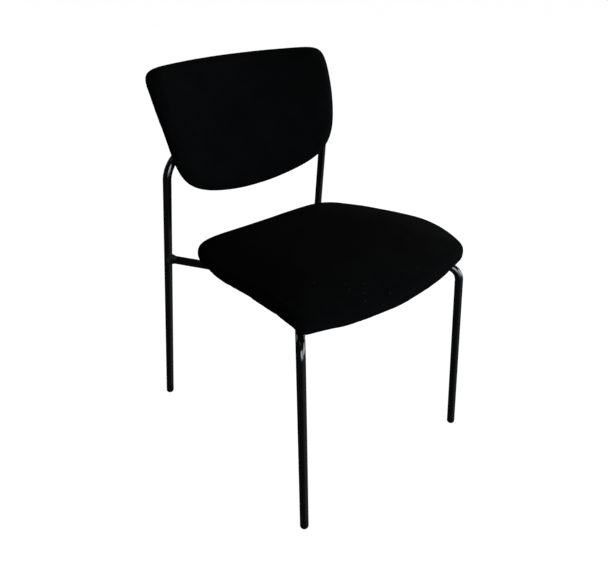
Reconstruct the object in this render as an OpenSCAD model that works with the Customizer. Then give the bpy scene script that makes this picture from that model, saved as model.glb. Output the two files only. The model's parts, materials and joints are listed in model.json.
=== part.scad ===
// Stacking side chair: bent steel tube frame, upholstered seat and back pads.
// Frame: +Z up, the chair faces -Y, +X is the sitter's left. Millimetres.

/* [Frame tubes] */
// Outside diameter of every frame tube
tube_d = 18; // [16:0.5:20]
// Wall thickness of the frame tubes
tube_wall = 2; // [1.2:0.1:2.5]
// Half distance between the front feet, at the floor
front_foot_x = 239.8; // [225:0.5:255]
// Half distance between the rear feet, at the floor
rear_foot_x = 240.6; // [225:0.5:255]
// Distance between the front and the rear feet, at the floor
foot_spacing = 538.9; // [500:0.5:570]
// Height of the front leg's upper bend, to the tube's centre
front_bend_z = 428.2; // [415:0.1:432]
// Radius of the front leg's upper bend, on the centre line
front_bend_r = 35; // [35:1:55]
// Heading of the front rail inward from straight back, degrees
front_rail_angle = 38.9; // [33:0.1:43]
// Height of the rear rail where it meets the upright
rear_rail_z = 404.1; // [396:0.1:408]
// Heading of the rear rail inward from straight forward, degrees
rear_rail_angle = 33.7; // [29:0.1:38]
// Half distance between the two straight runs under the seat
run_x = 140; // [120:1:160]
// Radius of the bends under the seat
run_bend_r = 55; // [40:1:70]
// Height of the arch that joins the two uprights, to the tube's centre
arch_z = 643.6; // [635:0.1:650]
// Radius of the upright's upper bend
arch_bend_r = 50.5; // [40:0.5:60]
// Angle that the arch leaves the upright backward, degrees
arch_angle = 17.2; // [14:0.1:20]

/* [Seat] */
// Depth position of the seat's rear edge
seat_rear_y = 183.9; // [175:0.1:190]
// Half width of the seat at the rear
seat_rear_w = 190.7; // [180:0.1:200]
// Depth position of the seat's front corners
seat_front_y = -231.6; // [-240:0.1:-225]
// Half width of the seat at the front
seat_front_w = 227.7; // [215:0.1:235]
// How far the front edge bows forward
seat_front_bow = 29; // [10:0.5:40]
// How far each side bows outward
seat_side_bow = 28.2; // [5:0.1:35]
// Height of the seat's underside at mid depth
seat_z = 447.8; // [440:0.1:455]
// Thickness of the seat pad at its edge
seat_t = 35.9; // [30:0.1:45]
// Fall of the seat toward the rear, rise over run
seat_slope = 0.1455; // [0.05:0.001:0.16]
// Drop of the underside at the front edge
seat_drop_under = 57.2; // [20:0.1:60]
// Drop of the top at the front edge
seat_drop_top = 50.7; // [20:0.1:55]
// Crown of the seat pad
seat_crown = 12; // [4:0.5:16]
// Thickness of the moulded seat board
seat_board_t = 10; // [8:0.5:14]
// How much deeper the seat board is in its middle than at its edge
seat_dish = 9; // [5:0.5:12]

/* [Back pad] */
// Depth position of the back pad's middle
back_y = 215; // [205:0.1:225]
// Height of the back pad's middle
back_z = 679.7; // [670:0.1:690]
// Recline of the back pad, degrees
back_tilt = 19.38; // [12:0.01:24]
// Radius of the pad's concave front across the width
back_r = 513.9; // [450:0.1:700]
// How strongly the pad's top and bottom curl backward, per metre
back_curl = 0.948; // [0:0.001:1.2]
// Thickness of the back pad
back_t = 33.5; // [28:0.1:40]
// Height of the top edge above the pad's middle
back_top = 148.9; // [130:0.1:160]
// Height of the top corners above the pad's middle
back_corner = 132.8; // [115:0.1:145]
// Half width at the top corners
back_top_w = 229.4; // [215:0.1:240]
// Half width at mid height
back_mid_w = 221.4; // [205:0.1:235]
// Depth of the lower corners below the pad's middle
back_low = 101.9; // [85:0.1:115]
// Half width at the lower corners
back_low_w = 203; // [180:0.1:215]
// Depth of the bottom edge below the pad's middle
back_bottom = 141.1; // [125:0.1:155]
// Thickness of the curved back board
back_board_t = 8; // [6:0.5:10]

/* [Upholstery] */
// Thickness of the fabric covers
cover_t = 1.2; // [0.8:0.1:2]
// Thickness of the dust cover under the seat
dust_t = 0.8; // [0.5:0.1:1.2]

/* [Fasteners] */
// Thread diameter of the screws
screw_d = 6; // [5:1:6]
// Half distance between the seat screws, left to right
seat_screw_x = 100; // [90:1:110]
// Lateral place of the back brackets, along the pad
back_screw_u = 79.8; // [70:0.1:90]

/* [Hidden] */
$fn = 48;

// Whole-chair shift that centres its bounding box over the origin
y_off = -16.1;
tr = tube_d / 2;
ti = tr - tube_wall;
paint = [0.03, 0.03, 0.033];
cloth = [0.02, 0.02, 0.022];
plastic = [0.06, 0.06, 0.06];
ply = [0.72, 0.58, 0.4];
foamc = [0.85, 0.82, 0.7];
zinc = [0.72, 0.73, 0.74];

// ---- vectors and placement ----
function unit(v) = v / norm(v);
function perp(d) = abs(d[2]) < 0.9 ? unit(cross([0, 0, 1], d)) : unit(cross([1, 0, 0], d));
function mat(o, x, y, z) = [[x[0], y[0], z[0], o[0]], [x[1], y[1], z[1], o[1]],
    [x[2], y[2], z[2], o[2]], [0, 0, 0, 1]];
function flip(p) = [-p[0], p[1], p[2]];
module placed() translate([0, y_off, 0]) children();
module on_axis(p, d) { a = perp(d); multmatrix(mat(p, a, cross(d, a), d)) children(); }
module rod(p, q, r) { if (norm(q - p) > 0.05) on_axis(p, unit(q - p)) cylinder(h = norm(q - p), r = r); }

// ---- bent tubes ----
// P is the polyline of corner points, B the bend radius at each inner corner.
function heading(P, i) = unit(P[i + 1] - P[i]);
function turn(P, i) = acos(max(-1, min(1, heading(P, i - 1) * heading(P, i))));
function cut(P, B, i) = (i <= 0 || i >= len(P) - 1) ? 0 : B[i - 1] * tan(turn(P, i) / 2);
module elbow(P, B, i, r) {
    a = heading(P, i - 1);
    b = heading(P, i);
    m = unit(b - (a * b) * a);
    s = P[i] - cut(P, B, i) * a;
    // the bend is a hair fatter than the straights that run into it
    multmatrix(mat(s + B[i - 1] * m, -m, a, cross(a, m)))
        rotate_extrude(angle = turn(P, i), $fn = B[i - 1] > 200 ? 480 : 96)
            translate([B[i - 1], 0]) circle(r = r + 0.2, $fn = 48);
}
module bent_rod(P, B, r, e = 0) {
    n = len(P);
    for (i = [0 : n - 2]) rod(
        P[i] + heading(P, i) * (cut(P, B, i) - (i == 0 ? e : 0.6)),
        P[i + 1] - heading(P, i) * (cut(P, B, i + 1) - (i == n - 2 ? e : 0.6)), r);
    for (i = [1 : n - 2]) elbow(P, B, i, r);
}
module bent_tube(P, B) difference() {
    bent_rod(P, B, tr);
    bent_rod(P, B, ti, 2);
}

// Rear upright: foot, lean and the arch's corner points
rear_foot = [rear_foot_x, foot_spacing / 2, 0];
rear_lean = [-0.0389, -0.0932, 1];
rear_axis = unit(rear_lean);
arch_corner = rear_foot + rear_lean * arch_z;
arch_dir = [-cos(arch_angle), sin(arch_angle), 0];
arch_mid = arch_corner + arch_dir * (arch_corner[0] / cos(arch_angle));
arch_cut = arch_bend_r * tan(acos(rear_axis * arch_dir) / 2);
arch_r = (norm(arch_mid - arch_corner) - arch_cut - 2) / tan(arch_angle);
tube_end = 6;
rear_path = [rear_foot + rear_axis * tube_end, arch_corner, arch_mid,
    flip(arch_corner), flip(rear_foot + rear_axis * tube_end)];
// Front leg, its bend, and the run under the seat to the rear upright
front_foot = [front_foot_x, -foot_spacing / 2, 0];
front_lean = [-0.0345, 0.0967, 1];
front_axis = unit(front_lean);
front_corner = front_foot + front_lean * front_bend_z;
joint_p = rear_foot + rear_lean * rear_rail_z;
run_front = [run_x, front_corner[1] + (front_corner[0] - run_x) / tan(front_rail_angle), front_bend_z + 1.6];
run_rear = [run_x, joint_p[1] - (joint_p[0] - run_x) / tan(rear_rail_angle), rear_rail_z - 1.6];
side_path = [front_foot + front_axis * tube_end, front_corner, run_front, run_rear, joint_p];
side_bends = [front_bend_r, run_bend_r, run_bend_r];
run_slope = (run_rear[2] - run_front[2]) / (run_rear[1] - run_front[1]);
function run_z(y) = run_front[2] + run_slope * (y - run_front[1]);

// ---- seat surfaces ----
seat_tilt = -atan(seat_slope);
seat_c = [0, (seat_rear_y + seat_front_y) / 2];
function under_z(y) = seat_z - seat_slope * y;
// Plane of the board's flat middle, and of the dust cover below it
board_off = cover_t - seat_dish;
dust_off = board_off - dust_t;
// Cross tubes and plates
cross_y = [-85, 60];
hole_y = [-100, 75];
plate_t = 3;
function cross_z(y) = under_z(y) + dust_off - (plate_t + tr) / cos(seat_tilt);

// ---- outlines ----
function bow(a, b, h, n) = let (e = b - a, nn = [e[1], -e[0]] / norm(e))
    [for (i = [0 : n - 1]) let (t = i / n) a + e * t + 4 * t * (1 - t) * h * nn];
function ring_of(half) = concat(half, [for (i = [len(half) - 2 : -1 : 1]) [-half[i][0], half[i][1]]]);
function run_len(p) = [for (i = 0, s = 0; i <= len(p); s = s + norm(p[(i + 1) % len(p)] - p[i % len(p)]), i = i + 1) s];
function even(p, n) = let (d = run_len(p), m = len(p),
    tx = [for (i = [0 : m]) [d[i], p[i % m][0]]], ty = [for (i = [0 : m]) [d[i], p[i % m][1]]])
    [for (i = [0 : n - 1]) let (t = d[m] * i / n) [lookup(t, tx), lookup(t, ty)]];
function total(v, i = 0, s = 0) = i == len(v) ? s : total(v, i + 1, s + v[i]);
function soften(p, sig) = let (n = len(p), d = norm(p[1] - p[0]), k = ceil(3 * sig / d),
    w = [for (j = [-k : k]) exp(-pow(j * d / sig, 2) / 2)], W = total(w))
    [for (i = [0 : n - 1]) [for (c = [0, 1]) total([for (j = [-k : k]) w[j + k] * p[(i + j + n) % n][c]]) / W]];
function mixed(p, s1, s2, ylo, yhi) = let (a = soften(p, s1), b = soften(p, s2))
    [for (i = [0 : len(p) - 1]) let (q = max(0, min(1, (p[i][1] - ylo) / (yhi - ylo))), w = q * q * (3 - 2 * q)) a[i] * w + b[i] * (1 - w)];

FINE = 240;
STEP = 3;
RN = FINE / STEP;
seat_half = concat(
    [for (i = [0 : 19]) let (x = seat_rear_w * i / 20) [x, seat_rear_y - 2.6 * (1 - pow(x / seat_rear_w, 2))]],
    bow([seat_rear_w, seat_rear_y], [seat_front_w, seat_front_y], -seat_side_bow, 40),
    [for (i = [0 : 29]) let (x = seat_front_w * (1 - i / 29)) [x, seat_front_y - seat_front_bow * (1 - pow(x / seat_front_w, 2))]]);
seat_fine = mixed(even(ring_of(seat_half), FINE), 44.5, 9.2, seat_front_y, seat_rear_y);
seat_ring = [for (i = [0 : RN - 1]) seat_fine[i * STEP]];
back_half = concat(
    [for (i = [0 : 29]) let (x = back_top_w * i / 30) [x, back_top + (back_corner - back_top) * pow(x / back_top_w, 2)]],
    bow([back_top_w, back_corner], [back_low_w, -back_low], -(back_mid_w - (back_top_w + back_low_w) / 2), 40),
    [for (i = [0 : 29]) let (x = back_low_w * (1 - i / 29)) [x, -back_bottom + (back_bottom - back_low) * pow(x / back_low_w, 2)]]);
back_fine = mixed(even(ring_of(back_half), FINE), 23.1, 44.7, -back_low, back_corner);
back_ring = [for (i = [0 : RN - 1]) back_fine[i * STEP]];

// Place on the seat: k = [inset, height above the underside, 1 for top or 0 for under]
// An inset over 500 means a fraction of the radius, in thousandths above 1000.
function inset_pt(c, p, s) = let (d = p - c) s >= 1000 ? c + d * ((s - 1000) / 1000) : c + d * (1 - s / norm(d));
function droop(y, k) = let (q = max(0, (-(y + 60)) / (-(seat_front_y - seat_front_bow + 60)))) pow(q, 2.5) * k;
function board_droop(y) = let (q = max(0, (-(y + 125)) / (-(seat_front_y - seat_front_bow + 125)))) pow(q, 1.8) * seat_drop_under;
function seat_pt(p, k) = let (q = inset_pt(seat_c, p, k[0]))
    [q[0], q[1], under_z(q[1]) + k[1] - (k[2] == 1 ? droop(q[1], seat_drop_top)
        : k[2] == 0 ? droop(q[1], seat_drop_under) : board_droop(q[1]))];
// Place on the back pad: u across, v up, n from front to rear
function back_pt(u, v, n) = let (f = u / back_r * 180 / PI,
    dep = -(1 - cos(f)) * back_r + n * cos(f) + back_curl * v * v / 1000)
    [sin(f) * (back_r + n), back_y + dep * cos(back_tilt) + v * sin(back_tilt),
     back_z - dep * sin(back_tilt) + v * cos(back_tilt)];
function back_ring_pt(p, k) = let (q = inset_pt([0, 0], p, k[0])) back_pt(q[0], q[1], k[1]);

// Closed solid from rings that run from one pole to the other
module skinned(a, rings, b) {
    m = len(rings);
    n = len(rings[0]);
    pts = concat([a], [for (r = rings) for (p = r) p], [b]);
    faces = concat(
        [for (j = [0 : n - 1]) [0, 1 + (j + 1) % n, 1 + j]],
        [for (i = [0 : m - 2]) for (j = [0 : n - 1]) [1 + i * n + j, 1 + i * n + (j + 1) % n, 1 + (i + 1) * n + (j + 1) % n]],
        [for (i = [0 : m - 2]) for (j = [0 : n - 1]) [1 + i * n + j, 1 + (i + 1) * n + (j + 1) % n, 1 + (i + 1) * n + j]],
        [for (j = [0 : n - 1]) [1 + m * n, 1 + (m - 1) * n + j, 1 + (m - 1) * n + (j + 1) % n]]);
    polyhedron(points = pts, faces = faces, convexity = 6);
}
module seat_solid(ks) {
    rings = [for (i = [1 : len(ks) - 2]) [for (p = seat_ring) seat_pt(p, ks[i])]];
    skinned(seat_pt(seat_ring[0], ks[0]), rings, seat_pt(seat_ring[0], ks[len(ks) - 1]));
}
module back_solid(ks) {
    rings = [for (i = [1 : len(ks) - 2]) [for (p = back_ring) back_ring_pt(p, ks[i])]];
    skinned(back_ring_pt(back_ring[0], ks[0]), rings, back_ring_pt(back_ring[0], ks[len(ks) - 1]));
}
function rev(v) = [for (i = [len(v) - 1 : -1 : 0]) v[i]];

// ---- seat section, from the top's middle round the edge to the underside ----
function top_rows(d) = [
    [1000, seat_t + seat_crown - d, 1],
    [1250, seat_t + seat_crown - d, 1],
    [1460, seat_t + seat_crown - 0.5 - d, 1],
    [100, seat_t + 0.9 * seat_crown - d, 1],
    [60, seat_t + 0.6 * seat_crown - d, 1],
    [20 + 0.1 * d, seat_t - 0.95 * d, 1],
    [6 + 0.75 * d, 0.92 * seat_t - 0.7 * d, 1],
    [d, 0.7 * seat_t, 1],
    [d, 0.35 * seat_t, 0]];
function wrap_rows(d) = [[8, 4 + d, 0], [14, d + 1, 0]];
edge_in = 15;
function board_rows(h) = [
    [edge_in, board_edge(0) + h, 0],
    [34, board_edge(0.25) + h, 0],
    [56, board_edge(0.6) + h, 2],
    [82, board_edge(1) + h, 2],
    [1420, board_edge(1) + h, 2],
    [1210, board_edge(1) + h, 2],
    [1000, board_edge(1) + h, 2]];
function board_edge(f) = cover_t + 1.6 * (1 - f) - seat_dish * f;
gap = 0.15;

// ---- back section, from the front's middle round the edge to the rear ----
function front_rows(d) = [
    [1000, -4 + d], [1250, -4 + d], [1500, -4 + d],
    [50, -4 + d], [15 + 0.2 * d, 2 + d], [3 + 0.8 * d, 10 + 0.6 * d], [d, 0.5 * back_t], [3 + 0.9 * d, 0.8 * back_t]];
back_in = 9;
board_n = back_t - 2.4 - back_board_t;

// ---- frames for fastener placement ----
seat_rot = [seat_tilt, 0, 0];
module seat_bolt_place() for (s = [-1, 1]) for (k = [0, 1])
    translate([s * seat_screw_x, hole_y[k], under_z(hole_y[k]) + dust_off]) rotate(seat_rot) children();
back_v0 = -25;
function back_frame(s) = let (u = s * back_screw_u,
    eu = unit(back_pt(u + 1, back_v0, back_t) - back_pt(u - 1, back_v0, back_t)),
    e0 = back_pt(u, back_v0 + 1, back_t) - back_pt(u, back_v0 - 1, back_t), ev = unit(e0 - (e0 * eu) * eu))
    mat(back_pt(u, back_v0, back_t), eu, ev, cross(eu, ev));
back_gap = 0.6;
back_hole = 14.5;
module back_plate_place() for (s = [-1, 1]) multmatrix(back_frame(s)) children();
// z of the children runs forward into the pad
module back_bolt_place() back_plate_place() for (k = [-1, 1]) translate([0, k * back_hole, 0]) children();

// ---- frame ----
module back_frame_tube() placed() color(paint)
    bent_tube(rear_path, [arch_bend_r, arch_r, arch_bend_r]);
module side_tube() difference() {
    bent_tube(side_path, side_bends);
    rod(joint_p - rear_axis * 60, joint_p + rear_axis * 60, tr);
}
module side_tube_left() placed() color(paint) side_tube();
module side_tube_right() placed() color(paint) mirror([1, 0, 0]) side_tube();
module run_axis(r) rod([run_x, run_front[1], run_front[2]], [run_x, run_rear[1], run_rear[2]], r);
module cross_tube(i) {
    y = cross_y[i];
    z = cross_z(y);
    difference() {
        rod([-run_x - 11, y, z], [run_x + 11, y, z], tr);
        rod([-run_x - 14, y, z], [run_x + 14, y, z], ti);
        for (s = [0, 1]) mirror([s, 0, 0]) run_axis(tr);
    }
}
module front_cross_tube() placed() color(paint) cross_tube(0);
module rear_cross_tube() placed() color(paint) cross_tube(1);

module round_rect(w, h, r) {
    square([w - 2 * r, h], center = true);
    square([w, h - 2 * r], center = true);
    for (x = [-1, 1]) for (y = [-1, 1]) translate([x * (w / 2 - r), y * (h / 2 - r)]) circle(r = r);
}
module seat_mount_plates() placed() color(paint) for (s = [-1, 1]) for (k = [0, 1]) {
    t = k == 0 ? -1 : 1;
    translate([s * seat_screw_x, hole_y[k], under_z(hole_y[k]) + dust_off]) rotate(seat_rot)
        translate([0, 0, -plate_t]) linear_extrude(plate_t) difference() {
            translate([0, -t * 6]) round_rect(30, 34, 5);
            circle(r = 3.3);
        }
}
module back_mount_plates() placed() color(paint) back_plate_place()
    translate([0, 0, -back_gap - plate_t]) linear_extrude(plate_t) difference() {
        round_rect(30, 46, 5);
        for (k = [-1, 1]) translate([0, k * back_hole]) circle(r = 3.3);
    }

module rail_weld() {
    d = heading(side_path, 3);
    difference() {
        on_axis(joint_p - d * 17, d) cylinder(h = 15, r1 = tr + 0.3, r2 = tr + 5);
        rod(joint_p - rear_axis * 40, joint_p + rear_axis * 40, tr);
        rod(joint_p - d * 60, joint_p + d * 20, tr);
    }
}
module cross_weld(i) {
    y = cross_y[i];
    z = cross_z(y);
    difference() {
        intersection() {
            rod([run_x, y - 30, run_z(y - 30)], [run_x, y + 30, run_z(y + 30)], tr + 2.4);
            rod([run_x - 30, y, z], [run_x + 30, y, z], tr + 2.4);
        }
        run_axis(tr);
        rod([-run_x - 40, y, z], [run_x + 40, y, z], tr);
    }
}
module weld_beads() placed() color(paint) for (s = [0, 1]) mirror([s, 0, 0]) {
    rail_weld();
    for (i = [0, 1]) cross_weld(i);
}

// ---- glides: a domed foot with a stem pressed into the tube ----
module glide(foot, axis) intersection() {
    on_axis(foot, axis) rotate_extrude() polygon([[0, -1.4], [6, -1.4], [7.5, -0.5], [8.5, 1.1],
        [tr, 3], [tr, tube_end], [ti - 0.05, tube_end], [ti - 0.05, tube_end + 16], [ti - 1.2, tube_end + 18], [0, tube_end + 18]]);
    translate([foot[0] - 30, foot[1] - 30, 0]) cube([60, 60, 60]);
}
module glide_front_left() placed() color(plastic) glide(front_foot, front_axis);
module glide_front_right() placed() color(plastic) glide(flip(front_foot), unit(flip(front_lean)));
module glide_rear_left() placed() color(plastic) glide(rear_foot, rear_axis);
module glide_rear_right() placed() color(plastic) glide(flip(rear_foot), unit(flip(rear_lean)));

// ---- stacking buffers: clips under the straight runs ----
module buffer(y) {
    d = unit(run_rear - run_front);
    p = [run_x, y, run_z(y)];
    up = unit(cross([1, 0, 0], d));
    multmatrix(mat(p - d * 11, [1, 0, 0], up, -cross([1, 0, 0], up) * -1)) difference() {
        union() {
            cylinder(h = 22, r = tr + 2.6);
            translate([-7, -tr - 5, 0]) cube([14, 8, 22]);
        }
        translate([0, 0, -1]) cylinder(h = 24, r = tr);
        translate([-20, 3.5, -1]) cube([40, 20, 24]);
    }
}
module stacking_buffers() placed() color(plastic) for (s = [0, 1]) mirror([s, 0, 0]) for (y = [-48, 22]) buffer(y);

// ---- seat ----
module seat_board() placed() color(ply) difference() {
    seat_solid(concat(rev(board_rows(0)), board_rows(seat_board_t)));
    seat_bolt_place() {
        translate([0, 0, -4]) cylinder(h = 30, r = 4);
        translate([0, 0, dust_t + seat_board_t - 1.5]) cylinder(h = 6, r = 9.2);
    }
}
module seat_foam() placed() color(foamc)
    seat_solid(concat(top_rows(cover_t + gap), [[8.6, 4 + cover_t + gap, 0], [edge_in - gap, cover_t + 1.6, 0]],
        [[edge_in - gap, cover_t + 1.6 + seat_board_t + gap, 0]],
        [for (i = [1 : 6]) board_rows(seat_board_t + gap)[i]]));
module seat_cover() placed() color(cloth)
    seat_solid(concat(top_rows(0), [[8, 3.2, 0], [15, 1.1, 0], [34, -1.5, 0],
        [34, -1.5 + cover_t - gap, 0], [15, 1.1 + cover_t - gap, 0], [8.6, 3.2 + cover_t, 0]], rev(top_rows(cover_t))));
module seat_dust_cover() placed() color(plastic) difference() {
    seat_solid(concat(
        [[1000, board_edge(1) - dust_t, 2], [1210, board_edge(1) - dust_t, 2], [1420, board_edge(1) - dust_t, 2],
        [82, board_edge(1) - dust_t, 2], [56, board_edge(0.6) - dust_t, 2], [36, board_edge(0.3) - dust_t, 0],
        [36, board_edge(0.3) - gap, 0]],
        [for (i = [2 : 6]) let (r = board_rows(0)[i]) [r[0], r[1] - 0.05, r[2]]]));
    seat_bolt_place() translate([0, 0, -4]) cylinder(h = 8, r = 4);
}
module tee_nut(h) difference() {
    union() {
        cylinder(h = h, r = 3.95);
        translate([0, 0, h - 1.3]) cylinder(h = 1.3, r = 9);
    }
    translate([0, 0, -1]) cylinder(h = h + 2, r = screw_d / 2 + 0.03);
}
module screw(l) difference() {
    union() {
        cylinder(h = 3.6, r1 = 4.6, r2 = 5.5);
        translate([0, 0, 3.6]) cylinder(h = l, r = screw_d / 2);
    }
    translate([0, 0, -0.1]) cylinder(h = 2.3, r = 2, $fn = 6);
}
module washer() difference() {
    cylinder(h = 1.2, r = 6.3);
    translate([0, 0, -1]) cylinder(h = 4, r = screw_d / 2 + 0.2);
}
module seat_tee_nuts() placed() color(zinc) seat_bolt_place()
    translate([0, 0, dust_t + 0.4]) tee_nut(seat_board_t - 0.6);
module seat_screws() placed() color(zinc) seat_bolt_place()
    translate([0, 0, -plate_t - 1.2 - 3.6]) screw(plate_t + 1.2 + dust_t + seat_board_t - 1);
module seat_washers() placed() color(zinc) seat_bolt_place() translate([0, 0, -plate_t - 1.2]) washer();
// A wire staple: crown on z = 0, legs along +z, crown along x
module staple(l) {
    translate([-6, -0.5, -0.6]) cube([12, 1, 0.6]);
    for (s = [-1, 1]) translate([s * 5.5 - 0.5, -0.5, -0.3]) cube([1, 1, l + 0.3]);
}
module seat_staples() placed() color(zinc) for (i = [0 : 10 : FINE - 1]) {
    p = seat_pt(seat_fine[i], [24, -0.35, 0]);
    q = seat_pt(seat_fine[(i + 1) % FINE], [24, -0.35, 0]);
    w = seat_pt(seat_fine[i], [26, -0.62, 0]);
    x = unit(q - p);
    z = unit(cross(x, w - p));
    zz = z[2] < 0 ? -z : z;
    multmatrix(mat(p, x, cross(zz, x), zz)) staple(6);
}

// ---- back pad ----
module back_board() placed() color(ply) difference() {
    back_solid([[1000, board_n], [1200, board_n], [1400, board_n], [1600, board_n], [1800, board_n], [back_in, board_n],
        [back_in, board_n + back_board_t], [1800, board_n + back_board_t], [1600, board_n + back_board_t], [1400, board_n + back_board_t],
        [1200, board_n + back_board_t], [1000, board_n + back_board_t]]);
    back_bolt_place() {
        translate([0, 0, -4]) cylinder(h = 30, r = 4);
        translate([0, 0, 2.4 + back_board_t - 1.6]) cylinder(h = 6, r = 9.2);
    }
}
module back_foam() placed() color(foamc)
    back_solid(concat(front_rows(cover_t + gap), [[back_in - gap, 0.8 * back_t], [back_in - gap, board_n - gap],
        [1800, board_n - gap], [1600, board_n - gap], [1400, board_n - gap], [1200, board_n - gap], [1000, board_n - gap]]));
module back_front_cover() placed() color(cloth)
    back_solid(concat(front_rows(0), [[9, back_t - 1.2], [30, back_t - 1.2],
        [30, back_t - 2.4 + gap], [back_in + 0.6, back_t - 2.4 + gap]], rev(front_rows(cover_t))));
module back_rear_cover() placed() color(cloth) difference() {
    back_solid([[1000, back_t - 1.05], [1200, back_t - 1.05], [1400, back_t - 1.05], [1600, back_t - 1.05], [1800, back_t - 1.05], [13, back_t - 1.05],
        [12, back_t - 0.6], [14, back_t], [1800, back_t], [1600, back_t], [1400, back_t], [1200, back_t], [1000, back_t]]);
    back_bolt_place() translate([0, 0, -4]) cylinder(h = 10, r = 4);
}
module back_tee_nuts() placed() color(zinc) back_bolt_place()
    translate([0, 0, 2.6]) tee_nut(back_board_t - 0.4);
module back_screws() placed() color(zinc) back_bolt_place()
    translate([0, 0, -back_gap - plate_t - 1.2 - 3.6]) screw(back_gap + plate_t + 1.2 + 2.4 + back_board_t - 1);
module back_washers() placed() color(zinc) back_bolt_place() translate([0, 0, -back_gap - plate_t - 1.2]) washer();
module back_staples() placed() color(zinc) for (i = [0 : 12 : FINE - 1]) {
    a = inset_pt([0, 0], back_fine[i], 21);
    b = inset_pt([0, 0], back_fine[(i + 1) % FINE], 21);
    p = back_pt(a[0], a[1], back_t - 1.75);
    q = back_pt(b[0], b[1], back_t - 1.75);
    n = unit(back_pt(a[0], a[1], back_t) - p);
    x0 = unit(q - p);
    x = unit(x0 - (x0 * n) * n);
    multmatrix(mat(p, x, cross(-n, x), -n)) staple(5);
}

back_frame_tube();
side_tube_left();
side_tube_right();
front_cross_tube();
rear_cross_tube();
seat_mount_plates();
back_mount_plates();
weld_beads();
glide_front_left();
glide_front_right();
glide_rear_left();
glide_rear_right();
stacking_buffers();
seat_board();
seat_foam();
seat_cover();
seat_dust_cover();
seat_tee_nuts();
seat_screws();
seat_washers();
seat_staples();
back_board();
back_foam();
back_front_cover();
back_rear_cover();
back_tee_nuts();
back_screws();
back_washers();
back_staples();
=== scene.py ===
import json
import math

import bpy
import numpy as np
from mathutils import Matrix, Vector


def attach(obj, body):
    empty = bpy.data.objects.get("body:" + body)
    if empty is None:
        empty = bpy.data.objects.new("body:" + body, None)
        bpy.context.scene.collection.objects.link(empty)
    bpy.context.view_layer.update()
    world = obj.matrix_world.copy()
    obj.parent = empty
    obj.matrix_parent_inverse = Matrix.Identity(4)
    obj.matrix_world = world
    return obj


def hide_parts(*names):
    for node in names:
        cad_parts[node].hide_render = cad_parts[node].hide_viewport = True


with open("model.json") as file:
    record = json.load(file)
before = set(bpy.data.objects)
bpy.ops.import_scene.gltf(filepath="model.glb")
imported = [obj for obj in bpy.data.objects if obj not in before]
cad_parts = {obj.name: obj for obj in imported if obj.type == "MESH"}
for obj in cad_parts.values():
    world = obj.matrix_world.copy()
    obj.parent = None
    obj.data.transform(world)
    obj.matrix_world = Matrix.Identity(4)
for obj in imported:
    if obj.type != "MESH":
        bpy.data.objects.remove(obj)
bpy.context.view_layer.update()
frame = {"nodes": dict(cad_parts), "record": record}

D = bpy.data
scene = bpy.context.scene
rng = np.random.default_rng(7)

# ------------------------------------------------------------------ dimensions, metres
YO = -0.0161                     # the whole chair's shift along Y, as in the CAD model
TR = 0.009                       # tube radius
SEAT = dict(yr=.1839, wr=.1907, br=-.0026, yf=-.2316, wf=.2277, bf=.029, bs=.0282, z=.4478,
            t=.0359, slope=-.1455, dr=.0572, dt=.0507, cr=.012, s1=.0445, s2=.0092)
BACK = dict(y=.215, z=.6797, tilt=math.radians(19.38), R=.5139, curl=.948, t=.0335, top=.1489,
            corner=.1328, w1=.2294, wm=.2214, low=.1019, wl=.203, bottom=.1411, s1=.0231, s2=.0447)


def unit(v):
    v = np.asarray(v, float)
    return v / np.linalg.norm(v)


def smoothstep(a, b, x):
    t = np.clip((np.asarray(x, float) - a) / (b - a), 0, 1)
    return t * t * (3 - 2 * t)


# ------------------------------------------------------------------ mesh helpers
def mesh_object(name, verts, faces, smooth=True):
    me = D.meshes.new(name)
    me.from_pydata([tuple(map(float, v)) for v in verts], [], faces)
    me.validate()
    me.update()
    if smooth:
        me.polygons.foreach_set("use_smooth", [True] * len(me.polygons))
    ob = D.objects.new(name, me)
    scene.collection.objects.link(ob)
    return ob


def rings_mesh(name, rings, uvs=None, poles=(True, True)):
    """A closed skin from equal rings, with a fan to a pole at each end."""
    m, n = len(rings), len(rings[0])
    verts = [p for r in rings for p in r]
    uv = [q for r in uvs for q in r] if uvs is not None else None
    faces = []
    for i in range(m - 1):
        for j in range(n):
            k = (j + 1) % n
            faces.append((i * n + j, i * n + k, (i + 1) * n + k, (i + 1) * n + j))
    if poles[0]:
        verts.append(np.mean(rings[0], axis=0))
        if uv is not None:
            uv.append(np.mean(uvs[0], axis=0))
        for j in range(n):
            faces.append((len(verts) - 1, (j + 1) % n, j))
    if poles[1]:
        verts.append(np.mean(rings[-1], axis=0))
        if uv is not None:
            uv.append(np.mean(uvs[-1], axis=0))
        b = (m - 1) * n
        for j in range(n):
            faces.append((len(verts) - 1, b + j, b + (j + 1) % n))
    ob = mesh_object(name, verts, faces)
    if uv is not None:
        layer = ob.data.uv_layers.new(name="weave")
        idx = np.empty(len(ob.data.loops), np.int32)
        ob.data.loops.foreach_get("vertex_index", idx)
        layer.data.foreach_set("uv", np.asarray(uv, np.float32)[idx].ravel())
    fix_normals(ob)
    return ob


def fix_normals(ob):
    import bmesh
    bm = bmesh.new()
    bm.from_mesh(ob.data)
    bmesh.ops.recalc_face_normals(bm, faces=bm.faces)
    bm.to_mesh(ob.data)
    bm.free()


# ------------------------------------------------------------------ smooth outlines
def bow(a, b, h, n):
    a, b = np.array(a, float), np.array(b, float)
    e = b - a
    nn = np.array([e[1], -e[0]]) / np.hypot(*e)
    t = np.linspace(0, 1, n, endpoint=False)[:, None]
    return a + e * t + 4 * t * (1 - t) * h * nn


def even(p, n):
    q = np.vstack([p, p[:1]])
    d = np.r_[0, np.cumsum(np.hypot(*np.diff(q, axis=0).T))]
    t = np.linspace(0, d[-1], n, endpoint=False)
    return np.stack([np.interp(t, d, q[:, i]) for i in (0, 1)], 1), d[-1] / n


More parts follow.
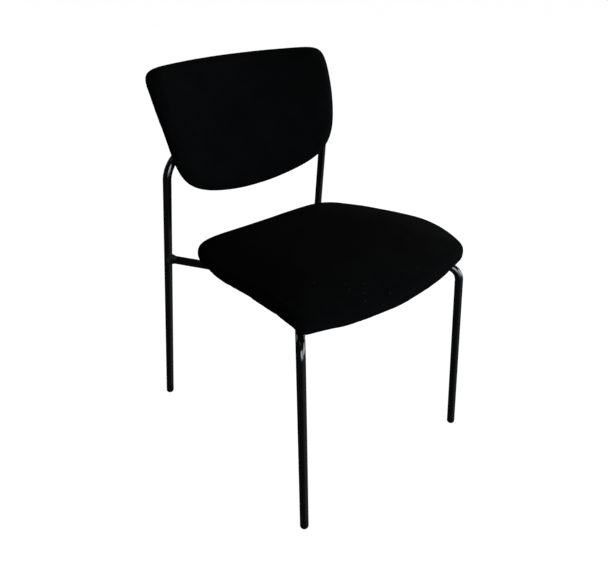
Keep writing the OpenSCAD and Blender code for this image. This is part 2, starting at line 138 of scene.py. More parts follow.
def soften(p, sig, ds):
    k = int(math.ceil(4 * sig / ds))
    w = np.exp(-0.5 * (np.arange(-k, k + 1) * ds / sig) ** 2)
    w /= w.sum()
    n = len(p)
    return sum(w[j + k] * p[(np.arange(n) + j) % n] for j in range(-k, k + 1))


def closed(half):
    return np.vstack([half, np.stack([-half[::-1, 0], half[::-1, 1]], 1)[1:-1]])


def seat_outline(n):
    v = SEAT
    xs = np.linspace(0, v["wr"], 20, endpoint=False)
    a = np.stack([xs, v["yr"] + v["br"] * (1 - (xs / v["wr"]) ** 2)], 1)
    b = bow((v["wr"], v["yr"]), (v["wf"], v["yf"]), -v["bs"], 60)
    xs = np.linspace(v["wf"], 0, 40)
    c = np.stack([xs, v["yf"] - v["bf"] * (1 - (xs / v["wf"]) ** 2)], 1)
    o, ds = even(closed(np.vstack([a, b, c])), 960)
    w = smoothstep(v["yf"], v["yr"], o[:, 1])[:, None]
    o = soften(o, v["s1"], ds) * w + soften(o, v["s2"], ds) * (1 - w)
    return even(o, n)[0]


def back_outline(n):
    v = BACK
    xs = np.linspace(0, v["w1"], 30, endpoint=False)
    a = np.stack([xs, v["top"] + (v["corner"] - v["top"]) * (xs / v["w1"]) ** 2], 1)
    b = bow((v["w1"], v["corner"]), (v["wl"], -v["low"]), -(v["wm"] - (v["w1"] + v["wl"]) / 2), 60)
    xs = np.linspace(v["wl"], 0, 40)
    c = np.stack([xs, -v["bottom"] + (v["bottom"] - v["low"]) * (xs / v["wl"]) ** 2], 1)
    o, ds = even(closed(np.vstack([a, b, c])), 960)
    w = smoothstep(-v["low"], v["corner"], o[:, 1])[:, None]
    o = soften(o, v["s1"], ds) * w + soften(o, v["s2"], ds) * (1 - w)
    return even(o, n)[0]


SEAT_C = np.array([0, (SEAT["yr"] + SEAT["yf"]) / 2])


def inset(o, c, s=None, f=None):
    d = o - c
    r = np.hypot(*d.T)[:, None]
    return c + d * f if f is not None else c + d * (1 - s / r)


def seat_xyz(q, h, top):
    """h above the underside; top is 1 for the upper surface's front droop and 0 for the underside's."""
    v = SEAT
    span = -(v["yf"] - v["bf"] + .06)
    yn = np.clip(-(q[:, 1] + .06) / span, 0, None)
    droop = yn ** 2.5 * (v["dt"] * top + v["dr"] * (1 - top))
    return np.column_stack([q[:, 0], q[:, 1] + YO, v["z"] + v["slope"] * q[:, 1] + h - droop])


def back_xyz(q, n):
    v = BACK
    f = q[:, 0] / v["R"]
    dep = -(1 - np.cos(f)) * v["R"] + n * np.cos(f) + v["curl"] * q[:, 1] ** 2
    ct, st = math.cos(v["tilt"]), math.sin(v["tilt"])
    return np.column_stack([np.sin(f) * (v["R"] + n), v["y"] + dep * ct + q[:, 1] * st + YO,
                            v["z"] - dep * st + q[:, 1] * ct])


def spline(ctrl, n):
    """Catmull-Rom through control rows, sampled by length of the first two columns."""
    c = np.asarray(ctrl, float)
    d = np.r_[0, np.cumsum(np.maximum(np.hypot(*np.diff(c[:, :2], axis=0).T), 1e-4) ** .5)]
    t = np.linspace(0, d[-1], 400)
    P = np.vstack([2 * c[0] - c[1], c, 2 * c[-1] - c[-2]])
    T = np.r_[-(d[1] - d[0]), d, d[-1] + (d[-1] - d[-2])]
    i = np.clip(np.searchsorted(d, t, side="right") - 1, 0, len(d) - 2) + 1
    out = []
    for k, tt in zip(i, t):
        p0, p1, p2, p3 = P[k - 1], P[k], P[k + 1], P[k + 2]
        t0, t1, t2, t3 = T[k - 1], T[k], T[k + 1], T[k + 2]
        m1 = (p2 - p0) / (t2 - t0) * (t2 - t1)
        m2 = (p3 - p1) / (t3 - t1) * (t2 - t1)
        s = (tt - t1) / (t2 - t1)
        out.append((2 * s**3 - 3 * s**2 + 1) * p1 + (s**3 - 2 * s**2 + s) * m1
                   + (-2 * s**3 + 3 * s**2) * p2 + (s**3 - s**2) * m2)
    out = np.array(out)
    l = np.r_[0, np.cumsum(np.hypot(*np.diff(out[:, :2], axis=0).T))]
    u = np.linspace(0, l[-1], n)
    return np.stack([np.interp(u, l, out[:, j]) for j in range(c.shape[1])], 1)


NS = 320


def unrolled(rings, centre_dir):
    """A flat map of the skin: distance from the middle along the surface, in the outline's direction."""
    r = np.linalg.norm(np.asarray(rings[0]) - np.mean(rings[0], axis=0), axis=1)
    out = [r[:, None] * centre_dir]
    for a, b in zip(rings[:-1], rings[1:]):
        r = r + np.linalg.norm(np.asarray(b) - np.asarray(a), axis=1)
        out.append(r[:, None] * centre_dir)
    return out


def seat_rings():
    v = SEAT
    o = seat_outline(NS)
    t, cr = v["t"], v["cr"]
    rows = [(.110, t + .97 * cr, 1), (.100, t + .92 * cr, 1), (.080, t + .78 * cr, 1), (.060, t + .6 * cr, 1), (.040, t + .34 * cr, 1), (.020, t, 1),
            (.006, .92 * t, 1), (0, .7 * t, 1), (0, .35 * t, 0), (.008, .0034, 0), (.015, .0011, 0), (.034, -.0015, 0)]
    sec = spline(rows, 46)
    rings = []
    for f in (.04, .1, .16, .22, .28, .34, .40, .45):
        q = inset(o, SEAT_C, f=f)
        rings.append(seat_xyz(q, t + cr, 1))
    rings = rings[:]
    for s, h, top in sec:
        rings.append(seat_xyz(inset(o, SEAT_C, s=s), h, np.clip(top, 0, 1)))
    d = o - SEAT_C
    d = d / np.hypot(*d.T)[:, None]
    return o, rings, unrolled(rings, d)


def back_rings():
    v = BACK
    o = back_outline(NS)
    t = v["t"]
    rows = [(.070, -.004), (.050, -.0038), (.030, -.0016), (.015, .002), (.003, .010), (0, .0168), (.003, .0268), (.0085, .0321), (.0112, .0326), (.0124, .0319), (.0150, .0318), (.024, .0319), (.030, .0318)]
    sec = spline(rows, 44)
    rings = []
    for f in (.05, .1, .15, .2, .25, .3, .35, .4, .45):
        rings.append(back_xyz(inset(o, np.zeros(2), f=f), -.004))
    for s, n in sec:
        rings.append(back_xyz(inset(o, np.zeros(2), s=s), n))
    d = o / np.hypot(*o.T)[:, None]
    return o, rings, unrolled(rings, d)


# ------------------------------------------------------------------ tube paths
def fillet_path(P, B, step=math.radians(2.0)):
    P = [np.asarray(p, float) for p in P]
    out = [P[0]]
    for i in range(1, len(P) - 1):
        a, b = unit(P[i] - P[i - 1]), unit(P[i + 1] - P[i])
        th = math.acos(np.clip(a @ b, -1, 1))
        cut = B[i - 1] * math.tan(th / 2)
        m = unit(b - (a @ b) * a)
        c = P[i] - cut * a + B[i - 1] * m
        n = max(4, int(math.ceil(th / min(step, .006 / B[i - 1] if B[i - 1] > .2 else step))))
        for k in range(n + 1):
            w = th * k / n
            out.append(c + B[i - 1] * (-math.cos(w) * m + math.sin(w) * a))
    out.append(P[-1])
    res = [out[0]]
    for a, b in zip(out[:-1], out[1:]):
        l = np.linalg.norm(b - a)
        k = max(1, int(l / .03))
        res += [a + (b - a) * (j / k) for j in range(1, k + 1)] if l > 1e-6 else []
    return np.array(res)


def sweep(name, path, r, sides=48, first=None, last=None):
    t = np.gradient(path, axis=0)
    t /= np.linalg.norm(t, axis=1)[:, None]
    x = unit(np.cross(t[0], [0.3, 1, 0.1]))
    rings, uvs = [], []
    length = np.r_[0, np.cumsum(np.linalg.norm(np.diff(path, axis=0), axis=1))]
    a = np.arange(sides) * 2 * math.pi / sides
    for i, p in enumerate(path):
        x = unit(x - (x @ t[i]) * t[i])
        y = np.cross(t[i], x)
        rings.append(p + r * (np.cos(a)[:, None] * x + np.sin(a)[:, None] * y))
        uvs.append(np.column_stack([a * r, np.full(sides, length[i])]))
    if first is not None:
        rings[0] = first(rings[0], t[0])
    if last is not None:
        rings[-1] = last(rings[-1], t[-1])
    return rings_mesh(name, rings, uvs)


rear_foot = np.array([.2406, .26945 + YO, 0])
rear_lean = np.array([-.0389, -.0932, 1.0])
rear_axis = unit(rear_lean)
flip = np.array([-1, 1, 1.0])
arch_corner = rear_foot + rear_lean * .6436
ang = math.radians(17.2)
arch_dir = np.array([-math.cos(ang), math.sin(ang), 0])
arch_mid = arch_corner + arch_dir * (arch_corner[0] / math.cos(ang))
arch_cut = .0505 * math.tan(math.acos(rear_axis @ arch_dir) / 2)
arch_r = (np.linalg.norm(arch_mid - arch_corner) - arch_cut - .002) / math.tan(ang)
front_foot = np.array([.2398, -.26945 + YO, 0])
front_lean = np.array([-.0345, .0967, 1.0])
front_axis = unit(front_lean)
front_corner = front_foot + front_lean * .4282
joint = rear_foot + rear_lean * .4041
RUN = .140
run_front = np.array([RUN, front_corner[1] + (front_corner[0] - RUN) / math.tan(math.radians(38.9)), .4298])
run_rear = np.array([RUN, joint[1] - (joint[0] - RUN) / math.tan(math.radians(33.7)), .4025])
rail_dir = unit(joint - run_rear)


def to_upright(ring, d, r=TR):
    """Slides each point along d onto the rear upright's near surface."""
    out = []
    for p in ring:
        w = p - joint
        e = d - (d @ rear_axis) * rear_axis
        q = w - (w @ rear_axis) * rear_axis
        A, Bq, C = e @ e, 2 * q @ e, q @ q - r * r
        disc = max(Bq * Bq - 4 * A * C, 0)
        out.append(p + d * ((-Bq - math.sqrt(disc)) / (2 * A)))
    return np.array(out)


rear_path = fillet_path([rear_foot + rear_axis * .006, arch_corner, arch_mid, arch_corner * flip, (rear_foot + rear_axis * .006) * flip],
                        [.0505, arch_r, .0505])
side_path = fillet_path([front_foot + front_axis * .006, front_corner, run_front, run_rear, joint], [.035, .055, .055])

pieces = {}
back_tube = sweep("back_frame_tube_skin", rear_path, TR)
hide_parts("back_frame_tube")
side_l = sweep("side_tube_left_skin", side_path, TR, last=lambda r, d: to_upright(r, rail_dir))
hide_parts("side_tube_left")
side_r = sweep("side_tube_right_skin", side_path, TR, last=lambda r, d: to_upright(r, rail_dir))
for vtx in side_r.data.vertices:
    vtx.co.x = -vtx.co.x
side_r.data.flip_normals()
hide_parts("side_tube_right")
for ob in (back_tube, side_l, side_r):
    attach(ob, "root")

# ------------------------------------------------------------------ seat and back pads


def cloth_crinkle(name, rings, cap, pin_rows, step=2):
    """Runs the cover as pressurised cloth, pinned along its tacked margin, and gives back how far each
    point moved, as an array of rings x points x 3."""
    full = np.asarray(rings)
    co = full[:, ::step]
    m, n = co.shape[:2]
    mid = co.mean(axis=(0, 1))
    ob = rings_mesh(name, [mid + (r - mid) * .992 for r in co])
    pin = ob.vertex_groups.new(name="pin")
    pin.add([i * n + j for i in range(m - pin_rows, m) for j in range(n)] + [m * n + 1], 1.0, "REPLACE")
    start = np.empty(len(ob.data.vertices) * 3)
    ob.data.vertices.foreach_get("co", start)
    mod = ob.modifiers.new("cloth", "CLOTH")
    c = mod.settings
    c.quality = 6
    c.mass = .35
    c.tension_stiffness = c.compression_stiffness = 22
    c.shear_stiffness = 9
    c.bending_stiffness = .35
    c.shrink_min = -.022
    c.use_pressure = True
    c.uniform_pressure_force = 4
    c.vertex_group_mass = "pin"
    c.effector_weights.gravity = 0
    mod.collision_settings.use_collision = False
    for fr in range(1, 21):
        scene.frame_set(fr)
    got = ob.evaluated_get(bpy.context.evaluated_depsgraph_get()).to_mesh()
    end = np.empty(len(got.vertices) * 3)
    got.vertices.foreach_get("co", end)
    scene.frame_set(1)
    d = (end - start).reshape(-1, 3)[:m * n].reshape(m, n, 3)
    D.objects.remove(ob, do_unlink=True)
    # keep the puckers and leave out the even swelling, so that the pad keeps its outline
    k = max(5, n // 14)
    ker = np.hanning(2 * k + 1)
    ker /= ker.sum()
    even_part = sum(w * np.roll(d, o, axis=1) for w, o in zip(ker, range(-k, k + 1)))
    d = d - even_part
    d[:6] *= np.linspace(0, 1, 6)[:, None, None]
    ln = np.linalg.norm(d, axis=2, keepdims=True)
    d *= cap * np.tanh(ln / cap) / np.maximum(ln, 1e-9)
    u = np.arange(full.shape[1]) / step
    lo = np.floor(u).astype(int) % n
    hi = (lo + 1) % n
    f = (u - np.floor(u))[None, :, None]
    return d[:, lo] * (1 - f) + d[:, hi] * f


def under_gain(m, tail, face):
    """Full crinkle on the last rings, which lie out of sight, and a trace of it on the face."""
    i = np.arange(m)
    return face * np.clip((m - tail - i) / 14, 0, 1) + smoothstep(m - tail, m - tail + 5, i)


def turn(o):
    """How sharply the outline turns at each point, 0 on the straight runs to 1 at the corners."""
    e = np.roll(o, -3, 0) - np.roll(o, 3, 0)
    h = np.unwrap(np.arctan2(e[:, 1], e[:, 0]))
    c = np.abs(np.roll(h, -4) - np.roll(h, 4))
    c = np.minimum(c, 2 * math.pi - c)
    return np.clip(c / np.percentile(c, 97), 0, 1)


def nap(shape, amp, seed, passes):
    """A smooth random relief over the rings, for the unevenness of foam under cloth."""
    g = np.random.default_rng(seed).normal(size=shape)
    for _ in range(passes):
        g = (np.roll(g, 1, 1) + np.roll(g, -1, 1) + 2 * g) / 4
        g[1:-1] = (g[:-2] + g[2:] + 2 * g[1:-1]) / 4
    return g * (amp / max(g.std(), 1e-9))


o_seat, rings, uvs = seat_rings()
R = np.asarray(rings)
m = len(R)
w = cloth_crinkle("seat_sim", rings, .0011, 5)
keep = under_gain(m, 13, .16)
R = R + w * keep[:, None, None]
R[..., 2] += nap(R.shape[:2], .00022, 3, 24) * np.clip(np.arange(m) / 8, 0, 1)[:, None]
# gathered folds where the cloth turns under the two front corners
cn = turn(o_seat)
ph = np.cumsum(.35 + 1.5 * cn) * .42
fold = (np.abs(np.sin(ph)) ** .7 - .5) * cn
low = np.exp(-((np.arange(m) - (m - 7)) / 3.2) ** 2)
R[..., 2] += -.0011 * low[:, None] * fold[None]
rings = [r for r in R]
inner = [seat_xyz(inset(o_seat, SEAT_C, s=a_), b_, 0) for a_, b_ in ((.0362, -.0010), (.0385, -.0006), (.046, .006), (.07, .014))]
inner += [seat_xyz(inset(o_seat, SEAT_C, f=a_), .016, 0) for a_ in (.5, .35, .2, .06)]
seat_pad = rings_mesh("seat_pad", rings + inner, uvs + [uvs[-1] * (1.01 + .01 * i) for i in range(8)])
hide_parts("seat_cover", "seat_foam")
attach(seat_pad, "root")

o_back, rings, uvs = back_rings()
R = np.asarray(rings)
m = len(R)
w = cloth_crinkle("back_sim", rings, .0010, 6)
R = R + w * under_gain(m, 12, .16)[:, None, None]
nb = unit([0, math.cos(BACK["tilt"]), -math.sin(BACK["tilt"])])
R += (nap(R.shape[:2], .0002, 5, 24) * np.clip(np.arange(m) / 8, 0, 1)[:, None])[..., None] * nb
cn = turn(o_back)
ph = np.cumsum(.35 + 1.5 * cn) * .42
fold = (np.abs(np.sin(ph)) ** .7 - .5) * cn
low = np.exp(-((np.arange(m) - (m - 6)) / 2.6) ** 2)
R += (.0007 * low[:, None] * fold[None])[..., None] * nb
inner = [back_xyz(inset(o_back, np.zeros(2), s=.034), .0300), back_xyz(inset(o_back, np.zeros(2), s=.06), .0298)]
back_pad = rings_mesh("back_pad", [r for r in R] + inner, uvs + [uvs[-1] * 1.01, uvs[-1] * 1.05])
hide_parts("back_front_cover", "back_foam")
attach(back_pad, "root")

# the outer panel, tacked blind round its edge
T = BACK["t"]
rows = [(f, None) for f in (.06, .14, .22, .3, .38, .46)]
sec = spline([(.070, T - .0003), (.045, T - .0002), (.030, T + .0002), (.0215, T + .0010), (.0172, T + .0013), (.0146, T + .0007),
              (.0132, T - .0006), (.0133, T - .0024)], 30)
pr, pu = [], []
for f, _ in rows:
    q = inset(o_back, np.zeros(2), f=f)
    pr.append(back_xyz(q, T - .0003))
for sct, nn_ in sec:
    q = inset(o_back, np.zeros(2), s=sct)
    pr.append(back_xyz(q, nn_))
P = np.asarray(pr)
m = len(P)
P += (nap(P.shape[:2], .00012, 9, 20) * np.clip(np.arange(m) / 8, 0, 1)[:, None])[..., None] * nb
tack = np.arange(NS)
dimple = .5 + .5 * np.cos(tack * 2 * math.pi / 8)
lip = np.exp(-((np.arange(m) - (m - 6)) / 2.5) ** 2)
P += (-.00045 * lip[:, None] * dimple[None])[..., None] * nb
d = o_back / np.hypot(*o_back.T)[:, None]
back_panel = rings_mesh("back_panel", [r for r in P], unrolled([r for r in P], d), poles=(True, False))
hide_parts("back_rear_cover")
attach(back_panel, "root")


def capsules(name, segs, r, sides=6):
    verts, faces = [], []
    for a_, b_ in segs:
        a_, b_ = np.asarray(a_, float), np.asarray(b_, float)
        t = unit(b_ - a_)
        x = unit(np.cross(t, [.31, .2, .93]))
        y = np.cross(t, x)
        L = np.linalg.norm(b_ - a_)
        base = len(verts)
        prof = [(0, .0), (.08, .75), (.25, 1), (.5, 1.05), (.75, 1), (.92, .75), (1, 0)]
        for f, k in prof:
            for j in range(sides):
                an = 2 * math.pi * j / sides
                verts.append(a_ + t * L * f + r * max(k, .02) * (math.cos(an) * x + math.sin(an) * y))
        for i in range(len(prof) - 1):
            for j in range(sides):
                k = (j + 1) % sides
                faces.append((base + i * sides + j, base + i * sides + k, base + (i + 1) * sides + k, base + (i + 1) * sides + j))
        faces.append(tuple(base + j for j in range(sides))[::-1])
        faces.append(tuple(base + (len(prof) - 1) * sides + j for j in range(sides)))
    ob = mesh_object(name, verts, faces)
    fix_normals(ob)
    return ob


# slip stitches that close the outer panel
oo = back_outline(260)
segs = []
for i in range(0, 260):
    p = oo[i]
    q = inset(np.array([p]), np.zeros(2), s=.0136)
    e = unit(oo[(i + 1) % 260] - oo[i - 1])
    n_ = np.array([e[1], -e[0]])
    c = q[0]
    segs.append((back_xyz(np.array([c + n_ * .0022 + e * .0006]), T - .0009)[0], back_xyz(np.array([c - n_ * .0009 - e * .0006]), T + .0004)[0]))
stitches = capsules("back_panel_stitches", segs, .00038)
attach(stitches, "root")

# ------------------------------------------------------------------ materials
def new_mat(name):
    m = D.materials.new(name)
    m.use_nodes = True
    nt = m.node_tree
    nt.nodes.clear()
    out = nt.nodes.new("ShaderNodeOutputMaterial")
    p = nt.nodes.new("ShaderNodeBsdfPrincipled")
    nt.links.new(p.outputs[0], out.inputs[0])
    return m, nt, p


def node(nt, kind, **kw):
    n = nt.nodes.new(kind)
    for k, v in kw.items():
        setattr(n, k, v)
    return n


def math_node(nt, op, a, b=None, c=None, clamp=False):
    n = nt.nodes.new("ShaderNodeMath")
    n.operation = op
    n.use_clamp = clamp
    for i, x in enumerate((a, b, c)):
        if x is None:
            continue
        if isinstance(x, (int, float)):
            n.inputs[i].default_value = x
        else:
            nt.links.new(x, n.inputs[i])
    return n.outputs[0]


def noise_node(nt, vec, scale, detail=3, rough=.55, dist=0):
    n = nt.nodes.new("ShaderNodeTexNoise")
    n.inputs["Scale"].default_value = scale
    n.inputs["Detail"].default_value = detail
    n.inputs["Roughness"].default_value = rough
    n.inputs["Distortion"].default_value = dist
    if vec is not None:
        nt.links.new(vec, n.inputs["Vector"])
    return n.outputs["Fac"]


def ramp(nt, fac, stops):
    n = nt.nodes.new("ShaderNodeValToRGB")
    cr = n.color_ramp
    while len(cr.elements) > 1:
        cr.elements.remove(cr.elements[-1])
    for i, (pos, col) in enumerate(stops):
        e = cr.elements[0] if i == 0 else cr.elements.new(pos)
        e.position = pos
        e.color = (*col, 1) if len(col) == 3 else col
    nt.links.new(fac, n.inputs[0])
    return n.outputs[0]


def bump(nt, height, dist, strength=1.0, normal=None):
    b = nt.nodes.new("ShaderNodeBump")
    b.inputs["Strength"].default_value = strength
    b.inputs["Distance"].default_value = dist
    nt.links.new(height, b.inputs["Height"])
    if normal is not None:
        nt.links.new(normal, b.inputs["Normal"])
    return b.outputs[0]


def fabric(name, base=.0055, pitch=.0011):
    m, nt, p = new_mat(name)
    uv = node(nt, "ShaderNodeUVMap", uv_map="weave")
    sep = nt.nodes.new("ShaderNodeSeparateXYZ")
    nt.links.new(uv.outputs[0], sep.inputs[0])
    wob = noise_node(nt, uv.outputs[0], 260, 2)
    U = math_node(nt, "MULTIPLY_ADD", sep.outputs[0], math.pi / pitch, math_node(nt, "MULTIPLY", wob, .5))
    V = math_node(nt, "MULTIPLY_ADD", sep.outputs[1], math.pi / pitch, math_node(nt, "MULTIPLY", wob, .4))
    su, sv = math_node(nt, "SINE", U), math_node(nt, "SINE", V)
    s = math_node(nt, "MULTIPLY", math_node(nt, "MULTIPLY", su, sv), 1.6)
    s = math_node(nt, "MAXIMUM", math_node(nt, "MINIMUM", s, 1), -1)
    warp = math_node(nt, "MULTIPLY", math_node(nt, "ABSOLUTE", su), math_node(nt, "MULTIPLY_ADD", s, .42, .58))
    weft = math_node(nt, "MULTIPLY", math_node(nt, "ABSOLUTE", sv), math_node(nt, "MULTIPLY_ADD", s, -.42, .58))
    h = math_node(nt, "MAXIMUM", warp, weft)
    tc = nt.nodes.new("ShaderNodeTexCoord")
    fuzz = noise_node(nt, tc.outputs["Object"], 2600, 4, .7)
    cloud = noise_node(nt, tc.outputs["Object"], 14, 4, .6)
    hh = math_node(nt, "MULTIPLY_ADD", fuzz, .5, h)
    # colour: painted shade darkens the thread valleys and a painted highlight lightens the crowns, with a faint random
    # heather over both
    k = math_node(nt, "MULTIPLY_ADD", h, .55, math_node(nt, "MULTIPLY", cloud, .5))
    k = math_node(nt, "MULTIPLY_ADD", math_node(nt, "SUBTRACT", fuzz, .5), .5, k, clamp=True)
    col = ramp(nt, k, [(0.0, (base * .35, base * .35, base * .38)), (.55, (base, base, base * 1.04)), (1.0, (base * 2.0, base * 2.0, base * 2.05))])
    nt.links.new(col, p.inputs["Base Color"])
    rough = math_node(nt, "MULTIPLY_ADD", h, -.08, .95)
    nt.links.new(rough, p.inputs["Roughness"])
    p.inputs["Specular IOR Level"].default_value = .025
    p.inputs["Sheen Weight"].default_value = .006
    p.inputs["Sheen Roughness"].default_value = .45
    soft = noise_node(nt, tc.outputs["Object"], 45, 3, .5)
    n1 = bump(nt, soft, .0012, .35)
    nt.links.new(bump(nt, hh, .00045, .9, n1), p.inputs["Normal"])
    return m


def paint(name):
    m, nt, p = new_mat(name)
    tc = nt.nodes.new("ShaderNodeTexCoord")
    ob = tc.outputs["Object"]
    peel = noise_node(nt, ob, 160, 2, .4)
    mott = noise_node(nt, ob, 60, 5, .65)
    sep = nt.nodes.new("ShaderNodeSeparateXYZ")
    nt.links.new(ob, sep.inputs[0])
    # scuffs gather near the floor
    low = math_node(nt, "SUBTRACT", 1, math_node(nt, "DIVIDE", sep.outputs[2], .16), clamp=True)
    mp = nt.nodes.new("ShaderNodeMapping")
    mp.inputs["Scale"].default_value = (1, 1, .22)
    nt.links.new(ob, mp.inputs[0])
    scr = noise_node(nt, mp.outputs[0], 900, 5, .7)
    scuff = math_node(nt, "MULTIPLY", math_node(nt, "GREATER_THAN", math_node(nt, "MULTIPLY_ADD", low, .10, scr), .69), low, clamp=True)
    col = ramp(nt, mott, [(.25, (.0022, .0022, .0026)), (.75, (.0042, .0042, .0048))])
    mix = node(nt, "ShaderNodeMix", data_type="RGBA")
    nt.links.new(math_node(nt, "MULTIPLY", scuff, .28), mix.inputs[0])
    nt.links.new(col, mix.inputs[6])
    mix.inputs[7].default_value = (.06, .06, .062, 1)
    nt.links.new(mix.outputs[2], p.inputs["Base Color"])
    r = math_node(nt, "MULTIPLY_ADD", mott, .08, .17)
    r = math_node(nt, "MULTIPLY_ADD", scuff, .25, r)
    nt.links.new(r, p.inputs["Roughness"])
    p.inputs["Specular IOR Level"].default_value = .42
    p.inputs["Coat Weight"].default_value = 1.0
    p.inputs["Coat Roughness"].default_value = .13
    p.inputs["Coat IOR"].default_value = 2.3
    nt.links.new(bump(nt, math_node(nt, "MULTIPLY_ADD", scuff, -.3, peel), .00005, .35), p.inputs["Normal"])
    return m


def weld(name):
    m = paint(name)
    nt = m.node_tree
    p = next(n for n in nt.nodes if n.type == "BSDF_PRINCIPLED")
    tc = nt.nodes.new("ShaderNodeTexCoord")
    w = nt.nodes.new("ShaderNodeTexWave")
    w.wave_type = "RINGS"
    w.rings_direction = "SPHERICAL"
    w.inputs["Scale"].default_value = 95
    w.inputs["Distortion"].default_value = 3.5
    w.inputs["Detail"].default_value = 2
    w.inputs["Detail Scale"].default_value = 40
    nt.links.new(tc.outputs["Object"], w.inputs["Vector"])
    lump = noise_node(nt, tc.outputs["Object"], 330, 2, .5)
    h = math_node(nt, "MULTIPLY_ADD", w.outputs["Fac"], .5, lump)
    old = p.inputs["Normal"].links[0].from_socket
    nt.links.new(bump(nt, h, .0007, .7, old), p.inputs["Normal"])
    return m


def plastic(name, base, rough, grain=1500, depth=.00008):
    m, nt, p = new_mat(name)
    tc = nt.nodes.new("ShaderNodeTexCoord")
    g = noise_node(nt, tc.outputs["Object"], grain, 3, .6)
    c = noise_node(nt, tc.outputs["Object"], 180, 4, .6)
    nt.links.new(ramp(nt, c, [(.3, tuple(base * .7 for _ in range(3))), (.75, tuple(base * 1.5 for _ in range(3)))]), p.inputs["Base Color"])
    nt.links.new(math_node(nt, "MULTIPLY_ADD", c, .25, rough - .12), p.inputs["Roughness"])
    p.inputs["Specular IOR Level"].default_value = .35
    nt.links.new(bump(nt, g, depth, .6), p.inputs["Normal"])
    return m


def zinc(name):
    m, nt, p = new_mat(name)
    tc = nt.nodes.new("ShaderNodeTexCoord")
    a = noise_node(nt, tc.outputs["Object"], 700, 4, .6)
    nt.links.new(ramp(nt, a, [(.3, (.42, .43, .45)), (.7, (.62, .63, .65))]), p.inputs["Base Color"])
    p.inputs["Metallic"].default_value = 1
    nt.links.new(math_node(nt, "MULTIPLY_ADD", a, .3, .22), p.inputs["Roughness"])
    nt.links.new(bump(nt, a, .00005, .5), p.inputs["Normal"])
    return m


def dust_cloth(name):
    m, nt, p = new_mat(name)
    tc = nt.nodes.new("ShaderNodeTexCoord")
    mp = nt.nodes.new("ShaderNodeMapping")
    mp.inputs["Scale"].default_value = (1, .35, 1)
    nt.links.new(tc.outputs["Object"], mp.inputs[0])
    a = noise_node(nt, mp.outputs[0], 1400, 5, .75)
    v = nt.nodes.new("ShaderNodeTexVoronoi")
    v.inputs["Scale"].default_value = 420
    nt.links.new(tc.outputs["Object"], v.inputs["Vector"])
    k = math_node(nt, "MULTIPLY_ADD", a, .8, math_node(nt, "MULTIPLY", v.outputs["Distance"], .4), clamp=True)
    nt.links.new(ramp(nt, k, [(.3, (.006, .006, .0065)), (.9, (.022, .022, .023))]), p.inputs["Base Color"])
    p.inputs["Roughness"].default_value = .9
    p.inputs["Specular IOR Level"].default_value = .2
    nt.links.new(bump(nt, k, .0003, .8), p.inputs["Normal"])
    return m


def plywood(name):
    m, nt, p = new_mat(name)
    tc = nt.nodes.new("ShaderNodeTexCoord")
    mp = nt.nodes.new("ShaderNodeMapping")
    mp.inputs["Scale"].default_value = (12, 1.2, 90)
    nt.links.new(tc.outputs["Object"], mp.inputs[0])
    a = noise_node(nt, mp.outputs[0], 8, 6, .65, .6)
    nt.links.new(ramp(nt, a, [(.3, (.33, .21, .11)), (.7, (.55, .40, .24))]), p.inputs["Base Color"])
    p.inputs["Roughness"].default_value = .6
    nt.links.new(bump(nt, a, .0003, .5), p.inputs["Normal"])
    return m


MATS = {"frame_paint": paint("frame_paint_black"), "upholstery": fabric("upholstery_black_weave"),
        "dust_cloth": dust_cloth("dust_cloth_black"), "foam": plastic("foam_cells", .5, .9, 900, .0004),
        "ply": plywood("beech_ply"), "zinc": zinc("zinc_plate"),
        "lint": plastic("lint_fibre", .12, .9, 3000, .0001), "thread": plastic("thread_black", .016, .7, 3000, .0001),
        "glide_plastic": plastic("glide_nylon", .006, .5), "buffer_plastic": plastic("buffer_polyethylene", .008, .55)}


def paint_piece(ob, mat):
    ob.data.materials.clear()
    ob.data.materials.append(mat)


for s in frame["record"]["subparts"]:
    ob = frame["nodes"][s["node"]]
    if len(ob.material_slots):
        for k in ob.material_slots:
            k.material = MATS[s["material_slot"]]
    else:
        ob.data.materials.append(MATS[s["material_slot"]])
for k in frame["nodes"]["weld_beads"].material_slots:
    k.material = weld("weld_enamel_black")
for ob in (back_tube, side_l, side_r):
    paint_piece(ob, MATS["frame_paint"])
for ob in (seat_pad, back_pad, back_panel):
    paint_piece(ob, MATS["upholstery"])
paint_piece(stitches, MATS["thread"])

# ------------------------------------------------------------------ floor, light, camera
floor = mesh_object("floor", [(-14, -14, 0), (14, -14, 0), (14, 14, 0), (-14, 14, 0)], [(0, 1, 2, 3)], smooth=False)
fm = D.materials.new("floor_pale")
fm.use_nodes = True
nt = fm.node_tree
nt.nodes.clear()
out = nt.nodes.new("ShaderNodeOutputMaterial")
lp = nt.nodes.new("ShaderNodeLightPath")
mixs = nt.nodes.new("ShaderNodeMixShader")
# what the chair sees of the floor: a painted glow in place of lit floor, dim, and lighter towards the window side
painted_floor_glow = nt.nodes.new("ShaderNodeEmission")
tc = nt.nodes.new("ShaderNodeTexCoord")
sep = nt.nodes.new("ShaderNodeSeparateXYZ")
nt.links.new(tc.outputs["Object"], sep.inputs[0])
side = math_node(nt, "MULTIPLY_ADD", sep.outputs[1], -.656, math_node(nt, "MULTIPLY", sep.outputs[0], .754))
mr = nt.nodes.new("ShaderNodeMapRange")
mr.interpolation_type = "SMOOTHSTEP"
mr.inputs[1].default_value = .05
mr.inputs[2].default_value = .75
mr.inputs[3].default_value = .012
mr.inputs[4].default_value = .30
nt.links.new(side, mr.inputs[0])
nt.links.new(mr.outputs[0], painted_floor_glow.inputs[1])
painted_floor_glow.inputs[0].default_value = (.93, .96, 1, 1)
add = nt.nodes.new("ShaderNodeAddShader")
white = nt.nodes.new("ShaderNodeBsdfDiffuse")
white.inputs[0].default_value = (.25, .25, .25, 1)
glow = nt.nodes.new("ShaderNodeEmission")
glow.inputs[1].default_value = .99
nt.links.new(white.outputs[0], add.inputs[0])
